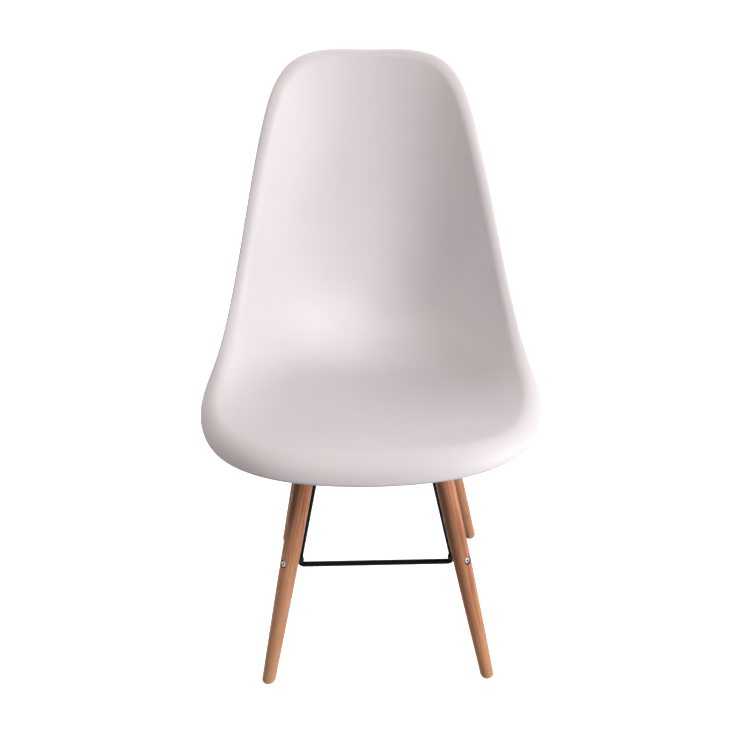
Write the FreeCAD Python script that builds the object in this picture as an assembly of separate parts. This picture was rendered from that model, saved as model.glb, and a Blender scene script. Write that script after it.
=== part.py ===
import FreeCAD, Part
import math
import os

# Moulded shell chair on a wood and steel-rod base.
# Units are millimetres. The floor is z = 0, the chair faces -Y and left is -X.

V = FreeCAD.Vector
os.makedirs("parts", exist_ok=True)

# Seat shell: the wall, then the lines that shape it.
# The shift centres the whole chair on the origin, front to back.
centre_shift = 1.45
shell_wall = 4.5
lip_edge_bulge = 1.6
frame_drop = 19.0
seat_front_y = -221.5
seat_front_z = 455.0
seat_low_z = 404.0
back_low_y = 182.0
crest_y = 245.0
crest_z = 820.0
rim_crest_z = 827.5

# Centre line of the shell from the front edge to the crest, as (y, z)
centre_points = [
    (seat_front_y, seat_front_z),
    (seat_front_y + 33, seat_front_z - 2),
    (-113, seat_low_z + 34),
    (-23, seat_low_z + 14),
    (67, seat_low_z),
    (142, seat_low_z + 6),
    (back_low_y, seat_low_z + 66),
    (back_low_y + 9, seat_low_z + 176),
    (crest_y - 30, crest_z - 119),
    (crest_y, crest_z),
]
# Side rim of the shell over the same run, as (y, z)
rim_points = [
    (seat_front_y, seat_front_z),
    (seat_front_y + 28, 451),
    (-133, 449),
    (-63, 447),
    (7, 456),
    (67, 498),
    (112, 577),
    (147, 670),
    (182, 763),
    (crest_y - 30, rim_crest_z),
]
# Half width of the shell from front to crest, and how late each section turns up
half_widths = [184, 197, 208, 206, 197, 187.5, 171, 152.5, 130, 117.5]
section_turns = [0.3, 0.3, 0.3, 0.35, 0.4, 0.4, 0.3, 0.2, 0.1, 0.1]
# Edge of the flat field: share of the half width, share of the run
edge_points = [
    (0, 0), (0.23, 0), (0.58, 0.008), (0.84, 0.056), (0.95, 0.138),
    (1, 0.26), (1, 0.38), (1, 0.52), (1, 0.66), (1, 0.81),
    (1, 0.922), (0.952, 0.982), (0.70, 1), (0.277, 1), (0, 1),
]
# Rolled lip outside that edge: radius, and angle turned through in degrees
lip_radii = [38, 37, 34, 28, 25, 23, 20, 19, 18, 16.5, 16, 17.5, 18, 15, 14]
lip_angles = [78, 79, 82, 86, 86, 81, 72, 69, 67, 66, 64, 62, 60, 60, 60]
# Rings of the skin: the field takes this share of them, round a middle on the run
field_share = 0.75
field_centre = 0.47
skin_columns = 41
skin_rows = 81
# Share of the run that is seat, not back
seat_share = 0.62

# Base: leg axes run from the feet to points under the seat.
# Each leg swells from the foot over the taper; a bulge of 1 would be a plain cone.
base_y = -6.0 + centre_shift
foot_offset = 167.5
leg_top_offset = 85.5
leg_top_z = seat_low_z - frame_drop
leg_foot_radius = 9.9
leg_top_radius = 13.4
leg_taper_length = 260.0
leg_bulge = 1.5
foot_chamfer = 1.0

# Foot glides
glide_height = 3.0
glide_radius = 8.6
glide_rounding = 1.2
glide_pin_radius = 2.5
glide_pin_length = 12.0

# Straps and rails under the seat
strap_thickness = 3.0
strap_overhang = 19.0
strap_width = 36.0
strap_corner_radius = 6.0
strap_offset = 73.0
rail_width = 20.0
rail_offset = 78.0

# Bent rods and braces
rod_radius = 4.0
rod_corner_x = 114.0
rod_corner_y = 110.5
rod_corner_z = 182.0
rod_top_x = 69.0
rod_top_y = 60.0
rod_bend_radius = 7.0
brace_radius = 3.0
brace_start_z = 214.0
brace_top_y = 48.0

# Fasteners that hold the shell
shell_bolt_x = 52.0
boss_radius = 11.0
spacer_thickness = 3.0
insert_radius = 4.5
insert_length = 11.0
bolt_tip_gap = 1.0
bolt_radius = 3.0
bolt_clearance = 0.4
thread_clearance = 0.1
bolt_head_radius = 5.5
bolt_head_height = 3.5
bolt_head_rounding = 1.6
socket_radius = 1.9
socket_depth = 1.8

# Fasteners that hold the legs
bracket_flat = 9.0
bracket_thickness = 3.0
bracket_half_width = 8.0
bracket_length = 42.0
bracket_gap = 1.0
leg_bolt_drop = 24.0
nut_across_flats = 10.0
nut_height = 4.5
head_seat_depth = 4.0
screw_axis_z = 199.0
screw_radius = 2.5
screw_head_radius = 4.75
screw_head_height = 2.8
screw_head_rounding = 1.3
screw_socket_radius = 1.7
screw_socket_depth = 1.5
screw_recess_gap = 1.2
screw_tip_gap = 2.0
lug_radius = 6.0
lug_seat_depth = 2.0
seat_clearance = 0.3

# Pieces run past a cut by this much, and bores past the leg
overrun = 12.0
profile_steps = 8
bore_reach = 2 * leg_top_radius

strap_length = 2 * (leg_top_offset + strap_overhang)
strap_top_z = leg_top_z + strap_thickness
boss_bottom_z = strap_top_z + spacer_thickness
insert_bore_radius = bolt_radius + thread_clearance
hole_radius = bolt_radius + bolt_clearance
screw_hole_radius = screw_radius + bolt_clearance
leg_run = (foot_offset - leg_top_offset) * math.sqrt(2)
leg_tilt = math.atan2(leg_run, leg_top_z)
leg_length = math.hypot(leg_run, leg_top_z)
screw_axis_station = screw_axis_z / math.cos(leg_tilt)
bolt_axis_station = (leg_top_z - leg_bolt_drop) / math.cos(leg_tilt)

corners = [
    ("front_left", -1, -1),
    ("front_right", 1, -1),
    ("rear_left", -1, 1),
    ("rear_right", 1, 1),
]


def spline(points):
    # Clamped cubic curve over 0..1 through a control polygon
    count = len(points)
    curve = Part.BSplineCurve()
    knots = [i / (count - 3) for i in range(count - 2)]
    mults = [4] + [1] * (count - 4) + [4]
    curve.buildFromPolesMultsKnots(points, mults, knots, False, 3)
    return curve


centre_line = spline([V(0, y + centre_shift, z) for y, z in centre_points])
rim_line = spline([V(0, y + centre_shift, z) for y, z in rim_points])
width_line = spline([V(w, 0, 0) for w in half_widths])
turn_line = spline([V(t, 0, 0) for t in section_turns])
edge_line = spline([V(a, u, 0) for a, u in edge_points])
radius_line = spline([V(r, 0, 0) for r in lip_radii])
angle_line = spline([V(math.radians(f), 0, 0) for f in lip_angles])


def field_point(across, along):
    # Point of the upper face: centre line plus a rise toward the rim
    centre = centre_line.value(along)
    rim = rim_line.value(along)
    turn = turn_line.value(along).x
    rise = (1 - turn) * across ** 2 + turn * across ** 4
    point = centre + (rim - centre) * rise
    return V(width_line.value(along).x * across, point.y, point.z)


def field_normal(across, along):
    # Normal from small steps across and along
    step = 0.002
    before = max(along - step, 0.0)
    after = min(along + step, 1.0)
    side = field_point(across + step, along) - field_point(across - step, along)
    run = field_point(across, after) - field_point(across, before)
    return side.cross(run).normalize()


def edge_point(turn):
    # Edge of the field; past its two ends it carries on mirrored
    if turn < 0:
        point = edge_point(-turn)
        return V(-point.x, point.y, point.z)
    if turn > 1:
        point = edge_point(2 - turn)
        return V(-point.x, point.y, point.z)
    place = edge_line.value(turn)
    return field_point(place.x, place.y)


def edge_frame(turn):
    # Edge point, face normal there and the direction leading outward
    place = edge_line.value(turn)
    normal = field_normal(place.x, place.y)
    run = edge_point(turn + 0.001) - edge_point(turn - 0.001)
    outward = run.normalize().cross(normal).normalize()
    return edge_point(turn), normal, outward


def skin_point(ring, turn):
    # Upper face at a ring (0 middle, 1 lip edge) and a turn (0 front, 1 crest),
    # with the normal there and the direction leading outward
    if ring <= field_share:
        share = ring / field_share
        place = edge_line.value(turn)
        across = place.x * share
        along = field_centre + (place.y - field_centre) * share
        normal = field_normal(across, along)
        return field_point(across, along), normal, normal
    point, normal, outward = edge_frame(turn)
    radius = radius_line.value(turn).x
    angle = angle_line.value(turn).x * (ring - field_share) / (1 - field_share)
    away = normal * math.cos(angle) + outward * math.sin(angle)
    lead = outward * math.cos(angle) - normal * math.sin(angle)
    centre = point - normal * radius
    return centre + away * radius, away, lead


def skin_grid(columns, rows):
    # Square grid laid onto the round ring-and-turn plan
    grid = []
    for i in range(columns):
        s = -1 + 2 * i / (columns - 1)
        line = []
        for j in range(rows):
            t = -1 + 2 * j / (rows - 1)
            px = s * math.sqrt(1 - t * t / 2)
            py = t * math.sqrt(1 - s * s / 2)
            ring = min(math.hypot(px, py), 1.0)
            turn = math.atan2(abs(px), -py) / math.pi
            point, normal, lead = skin_point(ring, turn)
            if px < 0:
                point = V(-point.x, point.y, point.z)
                normal = V(-normal.x, normal.y, normal.z)
                lead = V(-lead.x, lead.y, lead.z)
            line.append((point, normal, lead))
        grid.append(line)
    return grid


def skin_face(poles, degree_u, degree_v):
    # Smooth face with clamped, even knots over a net of poles
    surface = Part.BSplineSurface()
    knots = []
    mults = []
    for count, degree in ((len(poles), degree_u), (len(poles[0]), degree_v)):
        spans = count - degree
        knots.append([k / spans for k in range(spans + 1)])
        mults.append([degree + 1] + [1] * (spans - 1) + [degree + 1])
    surface.buildFromPolesMultsKnots(
        poles, mults[0], mults[1], knots[0], knots[1], False, False, degree_u, degree_v
    )
    return surface.toShape()


def shell_skin():
    # Upper and lower skins, closed all round by a rounded lip edge
    grid = skin_grid(skin_columns, skin_rows)
    half = shell_wall / 2
    upper = [[p for p, n, d in line] for line in grid]
    lower = [[p - n * shell_wall for p, n, d in line] for line in grid]
    middle = [
        [p - n * half + d * (half + lip_edge_bulge) for p, n, d in line]
        for line in grid
    ]
    faces = [skin_face(upper, 3, 3), skin_face(lower, 3, 3)]
    last = len(grid) - 1
    for i in (0, last):
        faces.append(skin_face([upper[i], middle[i], lower[i]], 2, 3))
    end = len(grid[0]) - 1
    for j in (0, end):
        strip = [[rows[i][j] for i in range(len(grid))] for rows in (upper, middle, lower)]
        faces.append(skin_face(strip, 2, 3))
    skin = Part.makeShell(faces)
    skin.sewShape()
    solid = Part.makeSolid(skin)
    if solid.Volume < 0:
        solid.reverse()
    return solid


def seat_place(x, y):
    # Where on the upper face a plan point lies: across and along
    low = 0.0
    high = seat_share
    across = 0.0
    for step in range(40):
        along = (low + high) / 2
        across = abs(x) / width_line.value(along).x
        if field_point(across, along).y < y:
            low = along
        else:
            high = along
    return across, along


def shell_boss(x, y):
    # Round boss from the mounting plane up into the middle of the wall
    across, along = seat_place(x, y)
    normal = field_normal(across, along)
    if x < 0:
        normal = V(-normal.x, normal.y, normal.z)
    top = field_point(across, along)
    top = V(x, top.y, top.z) - normal * (shell_wall / 2)
    reach = top.z - boss_bottom_z + 2 * boss_radius
    boss = Part.makeCylinder(boss_radius, reach, V(x, y, boss_bottom_z))
    cap = Part.makeBox(2 * reach, 2 * reach, reach, V(-reach, -reach, 0))
    cap.Placement = FreeCAD.Placement(top, FreeCAD.Rotation(V(0, 0, 1), normal))
    return boss.cut(cap)


def shell_bolt_place(sx, sy):
    return sx * shell_bolt_x, base_y + sy * strap_offset


def seat_shell():
    shape = shell_skin()
    for name, sx, sy in corners:
        x, y = shell_bolt_place(sx, sy)
        shape = shape.fuse(shell_boss(x, y))
        hole = Part.makeCylinder(insert_radius, insert_length, V(x, y, boss_bottom_z))
        shape = shape.cut(hole)
    return shape.removeSplitter()


def ring(outer_radius, inner_radius, height, foot):
    # Upright tube standing on a point
    body = Part.makeCylinder(outer_radius, height, foot)
    return body.cut(Part.makeCylinder(inner_radius, height, foot))


def shell_insert(sx, sy):
    x, y = shell_bolt_place(sx, sy)
    return ring(insert_radius, insert_bore_radius, insert_length, V(x, y, boss_bottom_z))


def shell_spacer(sx, sy):
    x, y = shell_bolt_place(sx, sy)
    return ring(boss_radius, hole_radius, spacer_thickness, V(x, y, strap_top_z))


def hexagon(radius, height):
    turns = [k * math.pi / 3 for k in range(7)]
    points = [V(radius * math.cos(t), radius * math.sin(t), 0) for t in turns]
    return Part.Face(Part.makePolygon(points)).extrude(V(0, 0, height))


# Shank radius, then the head's radius, height and rounding, and its socket
bolt_size = (
    bolt_radius, bolt_head_radius, bolt_head_height, bolt_head_rounding, socket_radius, socket_depth
)
screw_size = (
    screw_radius, screw_head_radius, screw_head_height, screw_head_rounding,
    screw_socket_radius, screw_socket_depth,
)


def button_bolt(length, size):
    # Bolt along +Z, head below z = 0 with a hexagon socket in it
    radius, head_radius, head_height, rounding, hole, depth = size
    head = Part.makeCylinder(head_radius, head_height, V(0, 0, -head_height))
    rim = [e for e in head.Edges if abs(e.BoundBox.ZMax + head_height) < 1e-6]
    head = head.makeFillet(rounding, rim[:1])
    bolt = head.fuse(Part.makeCylinder(radius, length))
    socket = hexagon(hole, depth)
    socket.translate(V(0, 0, -head_height))
    return bolt.cut(socket).removeSplitter()


def shell_bolt(sx, sy):
    x, y = shell_bolt_place(sx, sy)
    length = strap_thickness + spacer_thickness + insert_length - bolt_tip_gap
    bolt = button_bolt(length, bolt_size)
    bolt.translate(V(x, y, leg_top_z))
    return bolt


def flat_bar(width, length, middle_x, middle_y):
    # Bar of strap thickness, level, on the plane of the leg tops
    low = V(middle_x - width / 2, middle_y - length / 2, leg_top_z)
    return Part.makeBox(width, length, strap_thickness, low)


def mount_strap(sy):
    strap = flat_bar(strap_length, strap_width, 0, base_y + sy * strap_offset)
    uprights = [e for e in strap.Edges if abs(e.BoundBox.ZLength - strap_thickness) < 1e-6]
    strap = strap.makeFillet(strap_corner_radius, uprights)
    for sx in (-1, 1):
        x, y = shell_bolt_place(sx, sy)
        strap = strap.cut(Part.makeCylinder(hole_radius, strap_thickness, V(x, y, leg_top_z)))
    return strap


def side_rail(sx):
    length = 2 * strap_offset - strap_width
    return flat_bar(rail_width, length, sx * rail_offset, base_y)


def rod_upright(sx, sy, height):
    # Centre of the bent rod's upright at a height
    share = (height - rod_corner_z) / (leg_top_z - rod_corner_z)
    x = rod_corner_x + (rod_top_x - rod_corner_x) * share
    y = rod_corner_y + (rod_top_y - rod_corner_y) * share
    return V(sx * x, base_y + sy * y, height)


def bent_path(points, radius):
    # Straight runs joined by arcs of one radius
    edges = []
    start = points[0]
    for before, corner, after in zip(points, points[1:], points[2:]):
        inward = (before - corner).normalize()
        onward = (after - corner).normalize()
        half = inward.getAngle(onward) / 2
        reach = radius / math.tan(half)
        first = corner + inward * reach
        last = corner + onward * reach
        axis = (inward + onward).normalize()
        middle = corner + axis * (radius / math.sin(half) - radius)
        edges.append(Part.makeLine(start, first))
        edges.append(Part.Arc(first, middle, last).toShape())
        start = last
    edges.append(Part.makeLine(start, points[-1]))
    return Part.Wire(edges)


def round_bar(path, radius):
    # Round bar swept along a wire
    first = path.Edges[0]
    start = first.valueAt(first.FirstParameter)
    lead = first.tangentAt(first.FirstParameter)
    profile = Part.Wire(Part.makeCircle(radius, start, lead))
    return path.makePipeShell([profile], True, True)


def level_block(low_z, high_z):
    # Block wider than the base between two heights, for level cuts
    half = 2 * foot_offset
    return Part.makeBox(2 * half, 2 * half, high_z - low_z, V(-half, base_y - half, low_z))


def above_block():
    return level_block(leg_top_z, leg_top_z + 3 * overrun)


def rod_frame(sy):
    # One rod: up one side, across the bottom and up the other side
    points = [
        rod_upright(-1, sy, leg_top_z + overrun),
        rod_upright(-1, sy, rod_corner_z),
        rod_upright(1, sy, rod_corner_z),
        rod_upright(1, sy, leg_top_z + overrun),
    ]
    return round_bar(bent_path(points, rod_bend_radius), rod_radius).cut(above_block())


def straight_rod(start, end, radius):
    return Part.makeCylinder(radius, (end - start).Length, start, end - start)


def largest(shape):
    # The main solid of a cut shape; the rest are offcuts
    return max(shape.Solids, key=lambda piece: piece.Volume)


def side_brace(sx, frames):
    # Two crossed rods welded where they meet, trimmed to what they are welded to
    shape = None
    for sy in (-1, 1):
        start = rod_upright(sx, sy, brace_start_z)
        end = V(sx * rail_offset, base_y - sy * brace_top_y, leg_top_z)
        end = end + (end - start).normalize() * overrun
        rod = straight_rod(start, end, brace_radius)
        shape = rod if shape is None else shape.fuse(rod)
    shape = shape.cut(above_block())
    for frame in frames:
        shape = shape.cut(frame)
    return largest(shape).removeSplitter()


def leg_placement(sx, sy):
    # Leg-local axes: Z up the leg, X outward and square to it
    outward = V(sx, sy, 0).normalize()
    up = V(0, 0, math.cos(leg_tilt)) - outward * math.sin(leg_tilt)
    out = outward * math.cos(leg_tilt) + V(0, 0, math.sin(leg_tilt))
    side = up.cross(out)
    foot = V(sx * foot_offset, base_y + sy * foot_offset, 0)
    matrix = FreeCAD.Matrix(
        out.x, side.x, up.x, foot.x,
        out.y, side.y, up.y, foot.y,
        out.z, side.z, up.z, foot.z,
    )
    return FreeCAD.Placement(matrix)


def placed(shape, sx, sy):
    # Shape made in leg-local axes, set on its leg
    moved = shape.copy()
    moved.Placement = leg_placement(sx, sy).multiply(moved.Placement)
    return moved


def leg_radius(station):
    # Full radius less what is left of the swell at this station up the leg
    left = max(1 - station / leg_taper_length, 0.0)
    return leg_top_radius - (leg_top_radius - leg_foot_radius) * left ** leg_bulge


def across_cylinder(radius, x_from, x_to, station):
    # Cylinder square to the leg axis in leg-local axes
    return Part.makeCylinder(radius, x_to - x_from, V(x_from, 0, station), V(1, 0, 0))


head_bore_radius = bolt_head_radius + seat_clearance
screw_recess_radius = screw_head_radius + screw_recess_gap
screw_head_floor = leg_radius(screw_axis_station) - head_seat_depth
lug_seat_x = -(leg_radius(screw_axis_station) - lug_seat_depth)
bolt_head_floor = leg_top_radius - head_seat_depth


def leg_blank():
    # Turned leg, longer than needed at both ends
    span = leg_taper_length + overrun
    stations = [span * k / profile_steps - overrun for k in range(profile_steps + 1)]
    profile = Part.BSplineCurve()
    profile.interpolate([V(leg_radius(s), 0, s) for s in stations])
    low = V(0, 0, -overrun)
    high = V(0, 0, leg_length + overrun)
    shoulder = V(leg_top_radius, 0, high.z)
    edges = [
        Part.makeLine(low, V(leg_radius(low.z), 0, low.z)),
        profile.toShape(),
        Part.makeLine(V(leg_top_radius, 0, leg_taper_length), shoulder),
        Part.makeLine(shoulder, high),
        Part.makeLine(high, low),
    ]
    return Part.Face(Part.Wire(edges)).revolve(low, V(0, 0, 1), 360)


def leg(sx, sy):
    body = leg_blank()
    cuts = [
        across_cylinder(screw_hole_radius, -bore_reach, bore_reach, screw_axis_station),
        across_cylinder(screw_recess_radius, screw_head_floor, bore_reach, screw_axis_station),
        across_cylinder(lug_radius + seat_clearance, -bore_reach, lug_seat_x, screw_axis_station),
        across_cylinder(hole_radius, -bore_reach, bore_reach, bolt_axis_station),
        across_cylinder(head_bore_radius, bolt_head_floor, bore_reach, bolt_axis_station),
    ]
    flat_length = bracket_length + bracket_gap + overrun
    flat_low = V(-bore_reach - bracket_flat, -bore_reach, leg_length - bracket_length - bracket_gap)
    cuts.append(Part.makeBox(bore_reach, 2 * bore_reach, flat_length, flat_low))
    for cut in cuts:
        body = body.cut(cut)
    body = placed(body, sx, sy).cut(above_block())
    body = body.cut(level_block(glide_height - 3 * overrun, glide_height))
    foot_edge = [e for e in body.Edges if e.BoundBox.ZMax < glide_height + 0.01]
    body = body.makeChamfer(foot_chamfer, foot_edge[:1])
    centre = leg_foot_centre(sx, sy)
    pin_foot = V(centre.x, centre.y, glide_height)
    return body.cut(Part.makeCylinder(glide_pin_radius, glide_pin_length, pin_foot))


def leg_foot_centre(sx, sy):
    # Floor point under the middle of the leg's cut foot
    shift = glide_height * math.tan(leg_tilt) / math.sqrt(2)
    reach = foot_offset - shift
    return V(sx * reach, base_y + sy * reach, 0)


def foot_glide(sx, sy):
    centre = leg_foot_centre(sx, sy)
    disc = Part.makeCylinder(glide_radius, glide_height, centre)
    low = [e for e in disc.Edges if e.BoundBox.ZMax < 0.01]
    disc = disc.makeFillet(glide_rounding, low[:1])
    pin = Part.makeCylinder(glide_pin_radius, glide_height + glide_pin_length, centre)
    return disc.fuse(pin).removeSplitter()


def leg_bracket(sx, sy):
    # Plate on the leg's flat, welded under the strap
    low = V(-bracket_flat - bracket_thickness, -bracket_half_width, leg_length - bracket_length)
    length = bracket_length + overrun
    plate = Part.makeBox(bracket_thickness, 2 * bracket_half_width, length, low)
    plate = plate.cut(across_cylinder(hole_radius, -bore_reach, 0, bolt_axis_station))
    return placed(plate, sx, sy).cut(above_block())


def bolt_across(length, size, head_x, station):
    # Bolt driven inward from the outer side of the leg
    bolt = button_bolt(length, size)
    bolt.rotate(V(0, 0, 0), V(0, 1, 0), -90)
    bolt.translate(V(head_x, 0, station))
    return bolt


def leg_bolt(sx, sy):
    length = bolt_head_floor + bracket_flat + bracket_thickness + nut_height
    return placed(bolt_across(length, bolt_size, bolt_head_floor, bolt_axis_station), sx, sy)


def leg_nut(sx, sy):
    nut = hexagon(nut_across_flats / math.sqrt(3), nut_height)
    nut = nut.cut(Part.makeCylinder(insert_bore_radius, nut_height))
    nut.rotate(V(0, 0, 0), V(0, 1, 0), -90)
    nut.translate(V(-bracket_flat - bracket_thickness, 0, bolt_axis_station))
    return placed(nut, sx, sy)


def lug_reach(sx, sy):
    # Distance along the screw axis from the leg axis to beside the rod's centre
    height = screw_axis_z
    for step in range(8):
        rod = rod_upright(sx, sy, height)
        plan = foot_offset - (foot_offset - leg_top_offset) * screw_axis_z / leg_top_z
        offset = (plan - abs(rod.x) + plan - abs(rod.y - base_y)) / math.sqrt(2)
        reach = offset / math.cos(leg_tilt)
        height = screw_axis_z - reach * math.sin(leg_tilt)
    return reach


def frame_lug(sx, sy, frames):
    # Threaded lug from the rod to its pocket in the leg
    reach = lug_reach(sx, sy)
    lug = across_cylinder(lug_radius, -reach, lug_seat_x, screw_axis_station)
    bore_radius = screw_radius + thread_clearance
    lug = lug.cut(across_cylinder(bore_radius, -reach, lug_seat_x, screw_axis_station))
    lug = placed(lug, sx, sy)
    for frame in frames:
        lug = lug.cut(frame)
    return largest(lug)


def leg_screw(sx, sy):
    reach = lug_reach(sx, sy)
    length = screw_head_floor + reach - rod_radius - screw_tip_gap
    return placed(bolt_across(length, screw_size, screw_head_floor, screw_axis_station), sx, sy)


def save(shape, name):
    shape.exportStep("parts/" + name + ".step")
    volume = round(shape.Volume, 1)
    print(name, "valid", shape.isValid(), "solids", len(shape.Solids), "volume", volume)


save(seat_shell(), "seat_shell")
rods = {-1: rod_frame(-1), 1: rod_frame(1)}
save(rods[-1], "front_rod_frame")
save(rods[1], "rear_rod_frame")
save(mount_strap(-1), "mount_strap_front")
save(mount_strap(1), "mount_strap_rear")
for side, sx in (("left", -1), ("right", 1)):
    save(side_rail(sx), "side_rail_" + side)
    save(side_brace(sx, rods.values()), "side_brace_" + side)
for name, sx, sy in corners:
    save(shell_insert(sx, sy), "shell_insert_" + name)
    save(shell_spacer(sx, sy), "shell_spacer_" + name)
    save(shell_bolt(sx, sy), "shell_bolt_" + name)
    save(leg(sx, sy), "leg_" + name)
    save(leg_bracket(sx, sy), "leg_bracket_" + name)
    save(leg_bolt(sx, sy), "leg_bolt_" + name)
    save(leg_nut(sx, sy), "leg_nut_" + name)
    save(frame_lug(sx, sy, rods.values()), "frame_lug_" + name)
    save(leg_screw(sx, sy), "leg_screw_" + name)
    save(foot_glide(sx, sy), "foot_glide_" + name)
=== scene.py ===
import bpy
import math
import numpy as np
from mathutils import Matrix, Vector


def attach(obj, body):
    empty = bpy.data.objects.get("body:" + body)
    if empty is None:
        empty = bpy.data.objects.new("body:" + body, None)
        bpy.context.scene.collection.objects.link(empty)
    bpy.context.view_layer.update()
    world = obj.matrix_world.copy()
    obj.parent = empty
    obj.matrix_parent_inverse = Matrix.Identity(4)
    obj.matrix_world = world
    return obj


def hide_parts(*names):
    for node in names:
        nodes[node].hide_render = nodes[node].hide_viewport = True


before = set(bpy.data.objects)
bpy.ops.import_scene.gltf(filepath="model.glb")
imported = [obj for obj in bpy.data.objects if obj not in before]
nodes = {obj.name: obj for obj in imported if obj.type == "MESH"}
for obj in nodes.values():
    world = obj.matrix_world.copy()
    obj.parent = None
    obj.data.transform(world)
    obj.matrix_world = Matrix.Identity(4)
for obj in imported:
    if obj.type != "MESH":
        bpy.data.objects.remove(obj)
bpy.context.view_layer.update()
print("frame loaded:", len(nodes), "nodes")


class Signal:
    # one output socket of a node; + - * and ** on it add Math nodes
    def __init__(self, paint, socket):
        self.paint, self.socket = paint, socket

    def work(self, operation, first, second=0.0):
        sockets = {0: first, 1: second}
        return self.paint.add("ShaderNodeMath", {"operation": operation}, sockets)

    def __add__(self, other):
        return self.work("ADD", self, other)

    def __radd__(self, other):
        return self.work("ADD", other, self)

    def __sub__(self, other):
        return self.work("SUBTRACT", self, other)

    def __rsub__(self, other):
        return self.work("SUBTRACT", other, self)

    def __mul__(self, other):
        return self.work("MULTIPLY", self, other)

    def __rmul__(self, other):
        return self.work("MULTIPLY", other, self)

    def __pow__(self, other):
        return self.work("POWER", self, other)

    def __rpow__(self, other):
        return self.work("POWER", other, self)

    def sine(self):
        return self.work("SINE", self)

    def beside(self, name):
        # another output of the same node
        return Signal(self.paint, self.socket.node.outputs[name])


class Paint:
    # a material or a world whose nodes are added one call at a time
    def __init__(self, block):
        self.block = block
        block.use_nodes = True
        self.tree = block.node_tree
        self.tree.nodes.clear()

    def add(self, kind, settings=None, sockets=None, output=0):
        # settings go first, because they decide which sockets a node has
        node = self.tree.nodes.new(kind)
        for key, value in (settings or {}).items():
            if key == "stops":
                self.setStops(node.color_ramp, value)
            else:
                setattr(node, key, value)
        for key, value in (sockets or {}).items():
            if isinstance(value, Signal):
                self.tree.links.new(value.socket, node.inputs[key])
            else:
                node.inputs[key].default_value = value
        return Signal(self, node.outputs[output]) if len(node.outputs) else node

    def setStops(self, ramp, stops):
        while len(ramp.elements) < len(stops):
            ramp.elements.new(1.0)
        for element, (place, colour) in zip(ramp.elements, stops):
            element.position = place
            element.color = colour

    def objectPoint(self):
        return self.add("ShaderNodeTexCoord", output="Object")

    def mapped(self, vector, **sockets):
        return self.add("ShaderNodeMapping", None, {"Vector": vector, **sockets})

    def length(self, vector):
        return self.add("ShaderNodeVectorMath", {"operation": "LENGTH"}, {0: vector}, "Value")

    def noise(self, vector, scale, detail=2.0, roughness=0.5, distortion=0.0):
        return self.add("ShaderNodeTexNoise", {"noise_dimensions": "3D"}, {
            "Vector": vector, "Scale": scale, "Detail": detail,
            "Roughness": roughness, "Distortion": distortion,
        })

    def spread(self, value, low, high, toLow=0.0, toHigh=1.0):
        # carries low..high over to toLow..toHigh and stops at both ends
        return self.add("ShaderNodeMapRange", {"clamp": True}, {
            "Value": value, "From Min": low, "From Max": high, "To Min": toLow, "To Max": toHigh,
        })

    def mixColour(self, share, first, second):
        # 6 and 7 are the colour sockets of the Mix node, and 2 its colour output
        return self.add("ShaderNodeMix", {"data_type": "RGBA"}, {0: share, 6: first, 7: second}, 2)

    def mixShader(self, share, first, second):
        return self.add("ShaderNodeMixShader", None, {0: share, 1: first, 2: second})

    def bump(self, height, depth, strength=1.0):
        sockets = {"Height": height, "Distance": depth, "Strength": strength}
        return self.add("ShaderNodeBump", None, sockets)

    def straightRay(self):
        # 1 where the camera, a reflection or a view through something looks
        seen = self.add("ShaderNodeLightPath", output="Is Camera Ray")
        return seen + seen.beside("Is Glossy Ray") + seen.beside("Is Transmission Ray")

    def surface(self, sockets):
        return self.add("ShaderNodeBsdfPrincipled", None, sockets)

    def finish(self, sockets):
        self.add("ShaderNodeOutputMaterial", None, {"Surface": self.surface(sockets)})
        return self.block


def newPaint(name):
    return Paint(bpy.data.materials.new(name))


def linear(red, green, blue):
    # screen colour 0..255 to the linear colour that a socket takes
    share = np.array([red, green, blue]) / 255
    value = np.where(share <= 0.04045, share / 12.92, ((share + 0.055) / 1.055) ** 2.4)
    return (*value.tolist(), 1.0)


def setMaterial(thing, material):
    thing.data.materials.clear()
    thing.data.materials.append(material)


# The viewpoint of the photograph
cameraFit = {
    "place": (0.02629, -1.13435, 1.07137),  # metres, in the chair's frame
    "pitchDown": 32.246,                    # degrees
    "yawRight": 2.663,
    "roll": -0.614,
    "focalPixels": 902.14,
    "framePixels": 750,
    "axisPixel": (427.51, 421.49),          # where the lens axis meets the frame
    "sensorWidth": 36,                      # millimetres
    "nearest": 0.02,                        # metres
}


def addCamera(fit):
    # ahead from the pitch and the yaw; right and down turned round it by the roll
    pitch, yaw, roll = (math.radians(fit[key]) for key in ("pitchDown", "yawRight", "roll"))
    level = math.cos(pitch)
    ahead = Vector((math.sin(yaw) * level, math.cos(yaw) * level, -math.sin(pitch)))
    levelRight = Vector((math.cos(yaw), -math.sin(yaw), 0))
    levelDown = ahead.cross(levelRight)
    right = math.cos(roll) * levelRight + math.sin(roll) * levelDown
    down = math.cos(roll) * levelDown - math.sin(roll) * levelRight
    lens = bpy.data.cameras.new("viewCamera")
    lens.sensor_width = fit["sensorWidth"]
    lens.lens = fit["focalPixels"] / fit["framePixels"] * fit["sensorWidth"]
    lens.shift_x = 0.5 - fit["axisPixel"][0] / fit["framePixels"]
    lens.shift_y = fit["axisPixel"][1] / fit["framePixels"] - 0.5
    lens.clip_start = fit["nearest"]
    camera = bpy.data.objects.new("viewCamera", lens)
    turn = Matrix((right, -down, -ahead)).transposed().to_4x4()
    camera.matrix_world = Matrix.Translation(fit["place"]) @ turn
    bpy.context.collection.objects.link(camera)
    bpy.context.scene.camera = camera


addCamera(cameraFit)
print("camera placed")


# The chair's corners, each as its side in x and in y
corners = {
    "front_left": (-1, -1), "front_right": (1, -1),
    "rear_left": (-1, 1), "rear_right": (1, 1),
}
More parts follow.
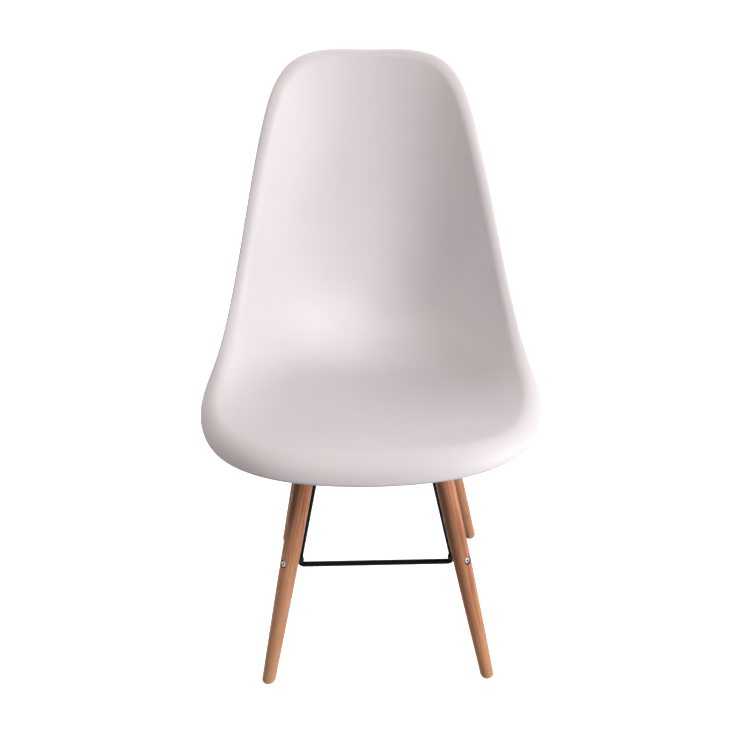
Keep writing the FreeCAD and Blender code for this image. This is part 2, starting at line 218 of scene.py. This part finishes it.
# What the base's pieces share, in millimetres
chairBase = {
    "shiftY": -4.55,
    "topZ": 385.0,     # the straps' and rails' underside
    "screwZ": 199.0,   # where the screws cross the legs' axes
}


# The moulded seat and back, in millimetres and with the part's own curves. The
# lists of 10 run from the front to the crest, those of 15 round half the edge
seatShell = {
    "shiftY": 1.45,
    "wall": 4.5,
    "edgeBulge": 1.6,
    "centreY": [-221.5, -188.5, -113, -23, 67, 142, 182, 191, 215, 245],
    "centreZ": [455, 453, 438, 418, 404, 410, 470, 580, 701, 820],
    "rimY": [-221.5, -193.5, -133, -63, 7, 67, 112, 147, 182, 215],
    "rimZ": [455, 451, 449, 447, 456, 498, 577, 670, 763, 827.5],
    "halfWidth": [184, 197, 208, 206, 197, 187.5, 171, 152.5, 130, 117.5],
    "lateTurn": [0.3, 0.3, 0.3, 0.35, 0.4, 0.4, 0.3, 0.2, 0.1, 0.1],
    "edgeAcross": [0, 0.23, 0.58, 0.84, 0.95, 1, 1, 1, 1, 1, 1, 0.952, 0.70, 0.277, 0],
    "edgeAlong": [
        0, 0, 0.008, 0.056, 0.138, 0.26, 0.38, 0.52, 0.66, 0.81, 0.922, 0.982, 1, 1, 1,
    ],
    "lipRadius": [
        37.7, 36.8, 33.9, 27.9, 24.9, 22.9, 19.9, 18.9, 17.9, 16.4, 15.9, 17.4, 17.9, 14.9, 13.9,
    ],
    "lipTurn": [78, 79, 82, 86, 86, 81, 72, 69, 67, 66, 64, 62, 60, 60, 60],  # degrees
    "fieldShare": 0.75,      # share of the rings that is field, not lip
    "fieldCentre": 0.47,     # share of the run at which the rings have their middle
    "seatShare": 0.62,       # share of the run that is seat, not back
    "rings": 96,
    "turns": 320,
    "edgeRows": 8,
}


def curveAt(values, place):
    # clamped even cubic B-spline over 0..1: the control values weighted by the
    # basis that the usual two-term recursion builds up from steps
    count = len(values)
    knots = np.concatenate([[0, 0, 0], np.linspace(0, 1, count - 2), [1, 1, 1]])
    place = np.clip(place, 0, 1 - 1e-9)
    spans = range(len(knots) - 1)
    basis = [((place >= knots[k]) & (place < knots[k + 1])).astype(float) for k in spans]
    for degree in (1, 2, 3):
        raised = []
        for k in range(len(basis) - 1):
            start, end = knots[k], knots[k + degree + 1]
            upSpan = knots[k + degree] - start
            downSpan = end - knots[k + 1]
            up = (place - start) / upSpan * basis[k] if upSpan > 0 else 0 * place
            down = (end - place) / downSpan * basis[k + 1] if downSpan > 0 else 0 * place
            raised.append(up + down)
        basis = raised
    return sum(value * weight for value, weight in zip(values, basis))


def shellCurve(key, place):
    return curveAt(seatShell[key], place)


def unit(vectors):
    # each vector over its own length
    return vectors / np.linalg.norm(vectors, axis=-1, keepdims=True)


def fieldPoint(across, along):
    # x is half width times across; y and z go from the centre line to the rim
    # line by (1 - late) across^2 + late across^4
    late = shellCurve("lateTurn", along)
    rise = (1 - late) * across ** 2 + late * across ** 4
    y0, z0 = shellCurve("centreY", along), shellCurve("centreZ", along)
    y1, z1 = shellCurve("rimY", along), shellCurve("rimZ", along)
    x = shellCurve("halfWidth", along) * across
    return np.stack([x, y0 + (y1 - y0) * rise + seatShell["shiftY"], z0 + (z1 - z0) * rise], -1)


def fieldNormal(across, along):
    # cross product of a short step across and a short step along
    step = 0.002
    side = fieldPoint(across + step, along) - fieldPoint(across - step, along)
    later, sooner = np.minimum(along + step, 1), np.maximum(along - step, 0)
    return unit(np.cross(side, fieldPoint(across, later) - fieldPoint(across, sooner)))


def edgePlace(turn):
    # edge of the field at -1..1: from the crest down the left side to the front
    # at 0, and up the right side, whose curves the left mirrors, to the crest
    around = (turn + 1) % 2 - 1
    side = np.where(around < 0, -1.0, 1.0)
    away = np.abs(around)
    return side * shellCurve("edgeAcross", away), shellCurve("edgeAlong", away)


def skinPoint(ring, turn):
    # inside fieldShare: the field point on the straight line from the middle to the
    # edge; outside it: edge - r n + r (n cos f + outward sin f), f growing with the
    # ring. Returns the point, the normal and the way on past it
    fieldShare, middle = seatShell["fieldShare"], seatShell["fieldCentre"]
    share = np.minimum(ring / fieldShare, 1)
    across, along = edgePlace(turn)
    along = middle + (along - middle) * share
    field = fieldPoint(across * share, along)
    normal = fieldNormal(across * share, along)
    step = 0.001
    before, after = fieldPoint(*edgePlace(turn - step)), fieldPoint(*edgePlace(turn + step))
    outward = unit(np.cross(unit(after - before), normal))
    radius = shellCurve("lipRadius", np.abs(turn))[..., None]
    lipShare = np.clip((ring - fieldShare) / (1 - fieldShare), 0, 1)
    angle = (np.radians(shellCurve("lipTurn", np.abs(turn))) * lipShare)[..., None]
    away = normal * np.cos(angle) + outward * np.sin(angle)
    onward = outward * np.cos(angle) - normal * np.sin(angle)
    return field - normal * radius + away * radius, away, onward


def gridFaces(rows, columns, closeDown=False):
    # one quad between each four neighbours of a grid of points whose columns
    # run round in a loop; closeDown joins the last row to the first as well
    index = np.arange(rows * columns).reshape(rows, columns)
    index = np.concatenate([index, index[:, :1]], 1)
    if closeDown:
        index = np.concatenate([index, index[:1]], 0)
    sides = [index[:-1, :-1], index[:-1, 1:], index[1:, 1:], index[1:, :-1]]
    return np.stack(sides, -1).reshape(-1, 4)


def closedSurface(rows, firstPole, lastPole):
    # rows of looped points with a pole at either end: quads between the rows and
    # a fan of triangles to each pole
    count, columns = rows.shape[:2]
    points = np.concatenate([rows.reshape(-1, 3), [firstPole], [lastPole]])
    first = np.arange(columns)
    last = first + (count - 1) * columns
    fans = np.concatenate([
        np.stack([np.roll(first, -1), first, np.full(columns, count * columns)], -1),
        np.stack([last, np.roll(last, -1), np.full(columns, count * columns + 1)], -1),
    ])
    return points, gridFaces(count, columns).tolist() + fans.tolist()


def joinSurfaces(surfaces):
    # points one after the other, faces numbered on from the points before them
    points, faces, count = [], [], 0
    for place, links in surfaces:
        points.append(place)
        faces += [[index + count for index in link] for link in links]
        count += len(place)
    return np.concatenate(points), faces


def addPiece(name, surface, material, replaced=()):
    # millimetres in, metres out
    points, faces = surface
    mesh = bpy.data.meshes.new(name)
    mesh.from_pydata((points / 1000).tolist(), [], faces)
    mesh.polygons.foreach_set("use_smooth", np.ones(len(mesh.polygons), bool))
    mesh.update()
    piece = bpy.data.objects.new(name, mesh)
    bpy.context.collection.objects.link(piece)
    mesh.materials.append(material)
    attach(piece, "root")
    if replaced:
        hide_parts(*replaced)
    return piece


def shellSurface():
    # upper skin in rings from the middle out, the lip edge as a bulging
    # parabola, and the lower skin one wall further in, back to the middle
    wall = seatShell["wall"]
    ring = np.linspace(0, 1, seatShell["rings"] + 1)[1:, None]
    turn = np.linspace(-1, 1, seatShell["turns"], endpoint=False)[None, :]
    ring, turn = np.broadcast_arrays(ring, turn)
    upper, normal, onward = skinPoint(ring, turn)
    lower = upper - normal * wall
    middle = upper[-1] - normal[-1] * wall / 2 + onward[-1] * (wall / 2 + seatShell["edgeBulge"])
    step = np.linspace(0, 1, seatShell["edgeRows"] + 1)[1:-1, None, None]
    edge = (1 - step) ** 2 * upper[-1] + 2 * step * (1 - step) * middle + step ** 2 * lower[-1]
    centre, centreNormal, _ = skinPoint(np.zeros(1), np.zeros(1))
    lowCentre = centre - centreNormal * wall
    rows = np.concatenate([upper, edge, lower[::-1]])
    return closedSurface(rows, centre[0], lowCentre[0])


# The four bosses under the seat that hold the brass inserts, in millimetres
shellBoss = {
    "placeX": 52.0,
    "placeY": 73.0,
    "bottomZ": 391.0,
    "radius": 11.0,
    "boreRadius": 4.5,
    "boreDepth": 11.0,
    "filletRadius": 4.0,
    "filletRows": 8,
    "cornerRound": 0.5,
    "wallReach": (0.4, 1.5),  # out from the fillet and up into the wall
    "turns": 72,
}


def underHeight(x, y):
    # the run is halved until the field lies over y, and the lower skin is one
    # wall below it, measured along the normal
    low, high = np.zeros_like(x), np.full_like(x, seatShell["seatShare"])
    for step in range(36):
        along = (low + high) / 2
        across = x / shellCurve("halfWidth", along)
        early = fieldPoint(across, along)[..., 1] < y
        low, high = np.where(early, along, low), np.where(early, high, along)
    steepness = fieldNormal(across, along)[..., 2]
    return fieldPoint(across, along)[..., 2] - seatShell["wall"] / steepness


def bossSurface(sideX, sideY):
    # a profile turned round the boss's axis: up to the bore's end, down the bore,
    # across the foot, up the outside, out along the fillet and into the wall
    radius, bore, depth = shellBoss["radius"], shellBoss["boreRadius"], shellBoss["boreDepth"]
    small, fillet = shellBoss["cornerRound"], shellBoss["filletRadius"]
    bevel = 0.3 * small
    lowRows = [
        (bore - small, depth), (bore, depth - small), (bore, small), (bore + bevel, bevel),
        (bore + small, 0), (radius - small, 0), (radius - bevel, bevel), (radius, small),
    ]
    bend = np.linspace(0, math.pi / 2, shellBoss["filletRows"])
    highRows = list(zip(radius + fillet * (1 - np.cos(bend)), fillet * (np.sin(bend) - 1)))
    highRows.append((radius + fillet + shellBoss["wallReach"][0], shellBoss["wallReach"][1]))
    turn = np.linspace(0, 2 * math.pi, shellBoss["turns"], endpoint=False)
    centreX = sideX * shellBoss["placeX"]
    centreY = chairBase["shiftY"] + sideY * shellBoss["placeY"]
    reach, lift = np.array(lowRows + highRows).T[..., None]
    x = centreX + reach * np.cos(turn)
    y = centreY + reach * np.sin(turn)
    hangs = np.arange(len(reach))[:, None] >= len(lowRows)
    z = lift + np.where(hangs, underHeight(x, y), shellBoss["bottomZ"])
    boreEnd = [centreX, centreY, shellBoss["bottomZ"] + depth]
    inWall = [centreX, centreY, float(z[-1].mean())]
    return closedSurface(np.stack([x, y, z], -1), boreEnd, inWall)


shellFinish = {
    "dull": linear(225, 219, 223),
    "pale": linear(229, 223, 227),
    "roughness": (0.50, 0.58),
    "cloudScale": 9.0,
    "grainScale": 900.0,
    "grainDepth": 0.00006,   # metres
    "bending": 1.49,         # index of refraction
}


def shellPlastic():
    # a broad cloud tints the colour, and a fine moulded grain breaks the gloss
    paint = newPaint("satinShellPlastic")
    point = paint.objectPoint()
    cloud = paint.noise(point, shellFinish["cloudScale"], 3.0)
    grain = paint.noise(point, shellFinish["grainScale"], 3.0, 0.6)
    share = paint.spread(cloud, 0.35, 0.65)
    return paint.finish({
        "Base Color": paint.mixColour(share, shellFinish["dull"], shellFinish["pale"]),
        "Roughness": paint.spread(cloud + grain * 0.4, 0.5, 0.9, *shellFinish["roughness"]),
        "Normal": paint.bump(grain, shellFinish["grainDepth"], 0.5),
        "IOR": shellFinish["bending"],
    })


shellParts = [shellSurface()] + [bossSurface(*sides) for sides in corners.values()]
shell = addPiece("moulded_shell", joinSurfaces(shellParts), shellPlastic(),
                 ["seat_shell"])
print("shell made:", len(shell.data.polygons), "faces")


# The turned legs: their lines as in the part, in millimetres, and the wood's look
legWood = {
    "footOffset": 167.5,
    "topOffset": 85.5,
    "pale": linear(238, 183, 149),
    "mid": linear(211, 146, 112),
    "dark": linear(160, 98, 72),
    "golden": linear(228, 174, 128),   # what the wood turns to near the foot
    "goldenShare": 0.35,
    "goldenReach": (0.04, 0.26),       # metres up the leg over which it fades out
    "recessShadeColour": linear(52, 28, 18),       # painted shade where the screw's recess lies
    "recessShadeShare": 0.9,
    "recessShadeReach": (0.0056, 0.0066),    # metres from the screw's axis
    "recessShadeSide": (0.002, 0.004),       # metres out from the leg's axis
    "ringGap": 0.0026,                 # metres between growth rings
    "ringWander": 26.0,
    "heartOffset": 0.045,              # how far off the tree's heart lies
    "grainStretch": 0.06,              # patterns run this much slower up the leg
    "fleckStretch": 0.16,
    "broadScale": 45.0,
    "wanderScale": 18.0,
    "streakScale": 330.0,
    "poreScale": 1100.0,
    "fleckScale": 780.0,
    "toneShares": (0.50, 0.32, 0.035),  # of the broad bands, streaks and rings
    "toneBase": 0.09,
    "roughness": (0.50, 0.38),
    "grainDepth": 0.0002,              # metres
    "gloss": 0.06,
}


def legAxes(sideX, sideY):
    # foot point in metres and unit vectors outward, sideways and up the leg
    run = (legWood["footOffset"] - legWood["topOffset"]) * math.sqrt(2)
    tilt = math.atan2(run, chairBase["topZ"])
    outward = Vector((sideX, sideY, 0)).normalized()
    up = Vector((0, 0, math.cos(tilt))) - outward * math.sin(tilt)
    out = outward * math.cos(tilt) + Vector((0, 0, math.sin(tilt)))
    reach = legWood["footOffset"] / 1000
    foot = Vector((sideX * reach, chairBase["shiftY"] / 1000 + sideY * reach, 0))
    return foot, out, up.cross(out), up


def legPoint(paint, sideX, sideY):
    # the point in the leg's own axes, how far out and how far up it lies, and its
    # distance from the screw's axis, which crosses the leg's at screwZ
    foot, out, side, up = legAxes(sideX, sideY)
    turn = Matrix((out, side, up)).transposed().to_euler()
    sockets = {"Vector": paint.objectPoint(), "Location": foot, "Rotation": turn}
    local = paint.add("ShaderNodeMapping", {"vector_type": "TEXTURE"}, sockets)
    reach = paint.add("ShaderNodeSeparateXYZ", None, {"Vector": local}, "X")
    aside, climb = reach.beside("Y"), reach.beside("Z")
    rise = climb - chairBase["screwZ"] / 1000 / up.z
    return local, reach, climb, (aside ** 2 + rise ** 2) ** 0.5


def turnedWood(corner, sideX, sideY, seed):
    # growth rings round a heart off to one side, drawn out along the leg, with
    # fine pores and short flecks on top, and painted shade round the screw's recess
    wood = legWood
    paint = newPaint("oiledBeech_" + corner)
    local, reach, climb, fromScrew = legPoint(paint, sideX, sideY)
    heart = paint.mapped(
        local, Rotation=(0.012 * seed, -0.01, 1.7 * seed),
        Location=(wood["heartOffset"], 0.0, 0.21 * seed))
    drawn = paint.mapped(heart, Scale=(1, 1, wood["grainStretch"]))
    fromHeart = paint.length(paint.mapped(heart, Scale=(1, 1, 0)))
    broad = paint.noise(drawn, wood["broadScale"], 3.0, 0.55, 0.4)
    wander = paint.noise(drawn, wood["wanderScale"], 2.0, 0.5)
    ring = (fromHeart * (2 * math.pi / wood["ringGap"]) + wander * wood["ringWander"]).sine()
    streak = paint.noise(drawn, wood["streakScale"], 4.0, 0.62, 0.2)
    pore = paint.spread(paint.noise(drawn, wood["poreScale"], 1.0, 0.5), 0.60, 0.72)
    fleckPoint = paint.mapped(heart, Scale=(1, 1, wood["fleckStretch"]))
    fleck = paint.spread(paint.noise(fleckPoint, wood["fleckScale"], 0.5), 0.69, 0.76)
    broadShare, streakShare, ringShare = wood["toneShares"]
    tone = broad * broadShare + streak * streakShare + ring * ringShare + wood["toneBase"]
    stops = [(0.0, wood["dark"]), (0.45, wood["mid"]), (1.0, wood["pale"])]
    colour = paint.add("ShaderNodeValToRGB", {"stops": stops},
                       {"Fac": paint.spread(tone, 0.34, 0.66)})
    golden = paint.spread(climb, *wood["goldenReach"], wood["goldenShare"], 0.0)
    # painted shade: a near-black brown round the screw's recess, on the leg's outer face only
    recessShade = paint.spread(fromScrew, *wood["recessShadeReach"], wood["recessShadeShare"], 0.0)
    recessShade = recessShade * paint.spread(reach, *wood["recessShadeSide"])
    colour = paint.mixColour(golden, colour, wood["golden"])
    colour = paint.mixColour(fleck * 0.4 + pore * 0.16, colour, wood["dark"])
    colour = paint.mixColour(recessShade, colour, wood["recessShadeColour"])
    height = streak * 0.5 + ring * 0.04 - pore * 0.5 - fleck * 0.3
    return paint.finish({
        "Base Color": colour,
        "Roughness": paint.spread(streak - pore * 0.3, 0.2, 0.7, *wood["roughness"]),
        "Normal": paint.bump(height, wood["grainDepth"], 0.5),
        "Specular IOR Level": wood["gloss"],
    })


for seed, (corner, sides) in enumerate(corners.items()):
    setMaterial(nodes["leg_" + corner], turnedWood(corner, *sides, seed + 1))
print("legs painted")


# The welded steel base: its lines as in the part, in millimetres, and its weld beads
steelBase = {
    "cornerX": 114.0,
    "cornerY": 110.5,
    "cornerZ": 182.0,
    "rodTopX": 69.0,
    "rodTopY": 60.0,
    "rodRadius": 4.0,
    "braceRadius": 3.0,
    "braceStartZ": 214.0,
    "braceTopY": 48.0,
    "railOffset": 78.0,
    "railWidth": 20.0,
    "railEnd": 55.0,
    "strapThickness": 3.0,
    "bracketInnerFace": -12.0,
    "bracketHalfWidth": 8.0,
    "lugWeldHalf": 5.2,      # half the length of a lug's weld
    "lugWeldOut": 0.6,       # how far out from the rod's middle it lies
    "beadRadius": 1.3,
    "beadRipple": 0.14,
    "rippleGap": 2.2,
    "beadTurns": 10,
    "ringPoints": 64,
    "linePoints": 48,
    "topClear": 0.4,         # from a bead's middle to the straps' underside
    "endClear": 0.6,         # from a joint's bead to the rail's side
    "flatClear": 0.3,        # from a bar or bracket to a bead on the flat
    "uprightClear": 0.2,     # from a brace and its upright to the bead between
    "crossClear": 0.1,       # the same where braces cross, and at a lug
    "socketReach": (0.0017, 0.0019),  # metres from the screw's axis
}


def rodPlace(sideX, sideY, height):
    # centre of the bent rod's upright: straight from its low corner to its top
    base = steelBase
    share = (height - base["cornerZ"]) / (chairBase["topZ"] - base["cornerZ"])
    x = base["cornerX"] + (base["rodTopX"] - base["cornerX"]) * share
    y = base["cornerY"] + (base["rodTopY"] - base["cornerY"]) * share
    return np.array([sideX * x, chairBase["shiftY"] + sideY * y, height])


def bead(path, closed=True):
    # circle of the bead's radius carried along a path; the radius ripples as
    # 1 + a sin(2 pi length / gap), and falls to nothing at open ends
    if closed:
        ahead = np.roll(path, -1, 0) - np.roll(path, 1, 0)
    else:
        ahead = np.gradient(path, axis=0)
    length = np.concatenate([[0], np.cumsum(np.linalg.norm(np.diff(path, axis=0), axis=1))])
    ripple = np.sin(2 * math.pi * length / steelBase["rippleGap"])
    radius = steelBase["beadRadius"] * (1 + steelBase["beadRipple"] * ripple)
    if not closed:
        share = length / length[-1]
        radius = radius * np.clip(1 - (2 * share - 1) ** 8, 0.01, 1) ** 0.5
    radius = radius[:, None, None]
    ahead = unit(ahead)
    aside = unit(np.cross(ahead, [0.31, 0.17, 0.94]))  # any line that no path follows
    over = np.cross(ahead, aside)
    turn = np.linspace(0, 2 * math.pi, steelBase["beadTurns"], endpoint=False)[None, :, None]
    rows = path[:, None] + radius * (aside[:, None] * np.cos(turn) + over[:, None] * np.sin(turn))
    if closed:
        return rows.reshape(-1, 3), gridFaces(*rows.shape[:2], closeDown=True)[:, ::-1].tolist()
    points, faces = closedSurface(rows, path[0], path[-1])
    return points, [face[::-1] for face in faces]


def roundTurn():
    return np.linspace(0, 2 * math.pi, steelBase["ringPoints"], endpoint=False)[:, None]


def levelRing(middle, lean, radius):
    # where a leaning round bar meets a level plane: an ellipse drawn out along the lean
    turn = roundTurn()
    flat = unit(np.array([lean[0], lean[1], 0.0]))
    cross = np.array([-flat[1], flat[0], 0.0])
    return middle + radius * (flat * np.cos(turn) / abs(unit(lean)[2]) + cross * np.sin(turn))


def saddleRing(start, lean, radius, axis, wide, sign):
    # where a round bar leaves another one that it starts in: for each line of the
    # first, the root of the distance from the other's axis set to that one's radius
    turn = roundTurn()
    lean, axis = unit(lean), unit(axis)
    aside = unit(np.cross(lean, axis))
    over = np.cross(lean, aside)
    rim = radius * (aside * np.cos(turn) + over * np.sin(turn))
    rimOff = rim - (rim @ axis)[:, None] * axis
    leanOff = lean - (lean @ axis) * axis
    half = rimOff @ leanOff
    square = leanOff @ leanOff
    root = np.maximum(half ** 2 - square * ((rimOff ** 2).sum(1) - wide ** 2), 0)
    run = (-half + sign * np.sqrt(root)) / square
    return start + rim + run[:, None] * lean


def weldLine(middle, half):
    # even points from one half length behind the middle to one ahead
    return np.linspace(middle - half, middle + half, steelBase["linePoints"])


def rodWelds(sideX, sideY):
    # rings where the upright meets the strap, and where the brace leaves the
    # upright, meets the rail and crosses the brace from the other corner
    base, top = steelBase, chairBase["topZ"]
    rod, brace = base["rodRadius"], base["braceRadius"]
    high = rodPlace(sideX, sideY, top - base["topClear"])
    upright = high - rodPlace(sideX, sideY, base["cornerZ"])
    start = rodPlace(sideX, sideY, base["braceStartZ"])
    endY = chairBase["shiftY"] - sideY * base["braceTopY"]
    lean = np.array([sideX * base["railOffset"], endY, top]) - start
    end = start + lean * (top - base["topClear"] - start[2]) / lean[2]
    clear = base["uprightClear"]
    rings = [
        levelRing(high, upright, rod + base["flatClear"]),
        saddleRing(start, lean, brace + clear, upright, rod + clear, 1),
        levelRing(end, lean, brace + base["flatClear"]),
    ]
    if sideY > 0:
        middle = start + lean * (chairBase["shiftY"] - start[1]) / lean[1]
        wide = brace + base["crossClear"]
        rings += [saddleRing(middle, lean, wide, lean * [1, -1, 1], wide, sign) for sign in (1, -1)]
    return rings


def lugWelds(sideX, sideY):
    # a line on each side of the lug, along the rod where the lug's screw axis
    # meets it: both lie equally far out there, which a few rounds settle
    base, screwZ = steelBase, chairBase["screwZ"]
    foot, out, side, up = (np.array(axis) for axis in legAxes(sideX, sideY))
    onAxis = foot * 1000 + up * screwZ / up[2]
    levelOut = unit(out * [1, 1, 0])
    height = screwZ
    for step in range(8):
        reach = (onAxis - rodPlace(sideX, sideY, height)) @ levelOut / (out @ levelOut)
        height = screwZ - reach * out[2]
    touch = rodPlace(sideX, sideY, height)
    upright = unit(rodPlace(sideX, sideY, chairBase["topZ"]) - touch)
    aside = unit(np.cross(upright, out)) * (base["rodRadius"] + base["crossClear"])
    half = upright * base["lugWeldHalf"]
    return [weldLine(touch + aside * sign + out * base["lugWeldOut"], half) for sign in (-1, 1)]


def topWelds(sideX, sideY):
    # a line along the bracket's inner face, and one on each face of the joint
    # between the rail and the strap
    base, top = steelBase, chairBase["topZ"]
    foot, out, side, up = (np.array(axis) for axis in legAxes(sideX, sideY))
    inner = foot * 1000 + out * (base["bracketInnerFace"] - base["flatClear"])
    inner = inner + up * (top - base["topClear"] - inner[2]) / up[2]
    lines = [weldLine(inner, side * base["bracketHalfWidth"])]
    jointX, jointY = sideX * base["railOffset"], chairBase["shiftY"] + sideY * base["railEnd"]
    half = np.array([base["railWidth"] / 2 - base["endClear"], 0.0, 0.0])
    for height in (top, top + base["strapThickness"]):
        lines.append(weldLine(np.array([jointX, jointY, height]), half))
    return lines


def weldBeads():
    rings, lines = [], []
    for sides in corners.values():
        rings += rodWelds(*sides)
        lines += lugWelds(*sides) + topWelds(*sides)
    return [bead(path) for path in rings] + [bead(path, closed=False) for path in lines]


rodFinish = {
    "black": linear(7, 7, 8),
    "dusty": linear(12, 12, 13),
    "roughness": (0.44, 0.54),
    "gloss": 0.08,
    "dustScale": 60.0,
    "peelScale": 1400.0,
    "peelDepth": 0.00008,    # metres
}


def powderCoat():
    # dust tints the colour and the gloss, and a fine orange peel lies on the skin
    paint = newPaint("blackPowderCoat")
    point = paint.objectPoint()
    peel = paint.noise(point, rodFinish["peelScale"], 2.0, 0.5)
    dust = paint.noise(point, rodFinish["dustScale"], 3.0, 0.6)
    share = paint.spread(dust, 0.35, 0.7)
    return paint.finish({
        "Base Color": paint.mixColour(share, rodFinish["black"], rodFinish["dusty"]),
        "Roughness": paint.spread(dust, 0.3, 0.7, *rodFinish["roughness"]),
        "Normal": paint.bump(peel, rodFinish["peelDepth"], 0.6),
        "Specular IOR Level": rodFinish["gloss"],
    })


# Each with its noise's scale, detail and roughness, the two colours that the noise
# mixes, and the depth in metres and the strength of its bumps
smallParts = {
    "zincPlate": {
        "grain": (320.0, 4.0, 0.6), "dark": linear(138, 138, 137), "pale": linear(172, 172, 170),
        "roughness": (0.26, 0.4), "metallic": 1.0, "bumps": (0.00004, 0.5),
    },
    "turnedBrass": {
        "grain": (400.0, 3.0, 0.6), "dark": linear(186, 150, 84), "pale": linear(214, 180, 110),
        "roughness": (0.25, 0.38), "metallic": 1.0, "bumps": None,
    },
    "spacerRubber": {
        "grain": (1500.0, 2.0, 0.5), "dark": linear(30, 30, 30), "pale": linear(42, 42, 42),
        "roughness": 0.8, "metallic": 0.0, "bumps": (0.0001, 0.5),
    },
    "glidePlastic": {
        "grain": (500.0, 3.0, 0.5), "dark": linear(205, 202, 194), "pale": linear(222, 219, 211),
        "roughness": (0.42, 0.55), "metallic": 0.0, "bumps": (0.00005, 0.4),
    },
}
# painted shade inside the leg screws' sockets
socketShade = {"colour": linear(22, 22, 22), "share": 0.93}


def smallPartFinish(kind, corner=None):
    # a leg's screw, which comes with its corner, has painted shade inside its socket
    look = smallParts[kind]
    paint = newPaint(kind + "_" + corner if corner else kind)
    grain = paint.noise(paint.objectPoint(), *look["grain"])
    colour = paint.mixColour(paint.spread(grain, 0.3, 0.7), look["dark"], look["pale"])
    if corner:
        fromScrew = legPoint(paint, *corners[corner])[3]
        # painted shade: near black within the socket's radius of the screw's axis
        paintedSocketShade = paint.spread(fromScrew, *steelBase["socketReach"], socketShade["share"], 0.0)
        colour = paint.mixColour(paintedSocketShade, colour, socketShade["colour"])
    rough = look["roughness"]
    if isinstance(rough, tuple):
        rough = paint.spread(grain, 0.3, 0.7, *rough)
    sockets = {"Base Color": colour, "Metallic": look["metallic"], "Roughness": rough}
    if look["bumps"]:
        sockets["Normal"] = paint.bump(grain, *look["bumps"])
    return paint.finish(sockets)


finishes = {kind: smallPartFinish(kind) for kind in smallParts}
finishes["powderCoat"] = powderCoat()
# By how the nodes' names start
finishOf = {
    "front_rod_frame": "powderCoat", "rear_rod_frame": "powderCoat", "side_brace": "powderCoat",
    "mount_strap": "powderCoat", "side_rail": "powderCoat", "leg_bracket": "powderCoat",
    "frame_lug": "powderCoat", "leg_bolt": "zincPlate", "leg_nut": "zincPlate",
    "shell_bolt": "zincPlate", "shell_insert": "turnedBrass", "shell_spacer": "spacerRubber",
    "foot_glide": "glidePlastic",
}
for name, node in nodes.items():
    for start, finish in finishOf.items():
        if name.startswith(start):
            setMaterial(node, finishes[finish])
for corner in corners:
    setMaterial(nodes["leg_screw_" + corner], smallPartFinish("zincPlate", corner))
welds = weldBeads()
addPiece("weld_beads", joinSurfaces(welds), finishes["powderCoat"])
print("steel, brass, rubber and glides painted;", len(welds), "weld beads laid")


# Floor, lamps and what surrounds them, in metres
studio = {
    "floorHalf": 14.0,
    "floorColours": ((0.8, 0.8, 0.8, 1), (0.82, 0.82, 0.82, 1)),
    "floorBounce": (0.2, 0.2, 0.2, 1),  # what the floor throws back at the chair
    "floorGlow": (0.78, 1.0),           # how white it looks by itself, near and far
    "glowReach": (0.25, 1.3),
    "floorRoughness": 0.9,
    "lampAim": (0.0, 0.0, 0.6),
    "lampDistance": 2.6,
    "lampSize": 0.9,
    "plainLight": (1.0, 1.0, 1.0),
    "warmLight": (1.0, 0.93, 0.86),
    "lamps": {               # degrees round from the front to the right, degrees up, watts, colour
        "keyLamp": (60, 15, 50.0, "plainLight"),
        "lowLamp": (85, -3, 16.0, "plainLight"),
        "highLamp": (-30, 55, 29.5, "warmLight"),
        "rearLamp": (180, 50, 16.0, "plainLight"),
        "backLamp": (180, 12, 50.0, "plainLight"),
        "farLamp": (-120, 40, 5.0, "warmLight"),
    },
    "worldLight": 0.02,
    "white": (1, 1, 1, 1),
}


def paleFloor():
    # plain where it lights the chair, and glowing whiter with the distance where
    # it is looked at, under the chair's own shadow
    paint = newPaint("paleFloor")
    point = paint.objectPoint()
    glow = paint.spread(paint.length(point), *studio["glowReach"], *studio["floorGlow"])
    plain = paint.surface({
        "Base Color": studio["floorBounce"], "Roughness": studio["floorRoughness"],
        "Specular IOR Level": 0.0,
    })
    glowing = paint.surface({
        "Base Color": paint.mixColour(paint.noise(point, 3.0, 2.0), *studio["floorColours"]),
        "Roughness": studio["floorRoughness"], "Emission Color": glow, "Emission Strength": 1.0,
    })
    mixed = paint.mixShader(paint.straightRay(), plain, glowing)
    paint.add("ShaderNodeOutputMaterial", None, {"Surface": mixed})
    return paint.block


def addFloor():
    half = studio["floorHalf"]
    corner = [(-half, -half, 0), (half, -half, 0), (half, half, 0), (-half, half, 0)]
    mesh = bpy.data.meshes.new("studioFloor")
    mesh.from_pydata(corner, [], [(0, 1, 2, 3)])
    floor = bpy.data.objects.new("studioFloor", mesh)
    bpy.context.collection.objects.link(floor)
    mesh.materials.append(paleFloor())


def addLamp(name, around, up, watts, tint):
    # a soft round lamp on a ball about the aim
    around, up = math.radians(around), math.radians(up)
    level = math.cos(up)
    away = Vector((math.sin(around) * level, -math.cos(around) * level, math.sin(up)))
    lamp = bpy.data.lights.new(name, "AREA")
    lamp.shape = "DISK"
    lamp.size = studio["lampSize"]
    lamp.energy = watts
    lamp.color = studio[tint]
    thing = bpy.data.objects.new(name, lamp)
    thing.location = Vector(studio["lampAim"]) + away * studio["lampDistance"]
    thing.rotation_euler = (-away).to_track_quat("-Z", "Y").to_euler()
    bpy.context.collection.objects.link(thing)


def setWorld():
    # nearly no light on the chair, and white behind it
    paint = Paint(bpy.data.worlds.new("studioWorld"))
    light, seen = (
        paint.add("ShaderNodeBackground", None, {"Color": studio["white"], "Strength": strength})
        for strength in (studio["worldLight"], 1.0))
    mixed = paint.mixShader(paint.straightRay(), light, seen)
    paint.add("ShaderNodeOutputWorld", None, {"Surface": mixed})
    bpy.context.scene.world = paint.block


addFloor()
for name, settings in studio["lamps"].items():
    addLamp(name, *settings)
setWorld()
bpy.context.scene.view_settings.view_transform = "Standard"
print("studio lit")
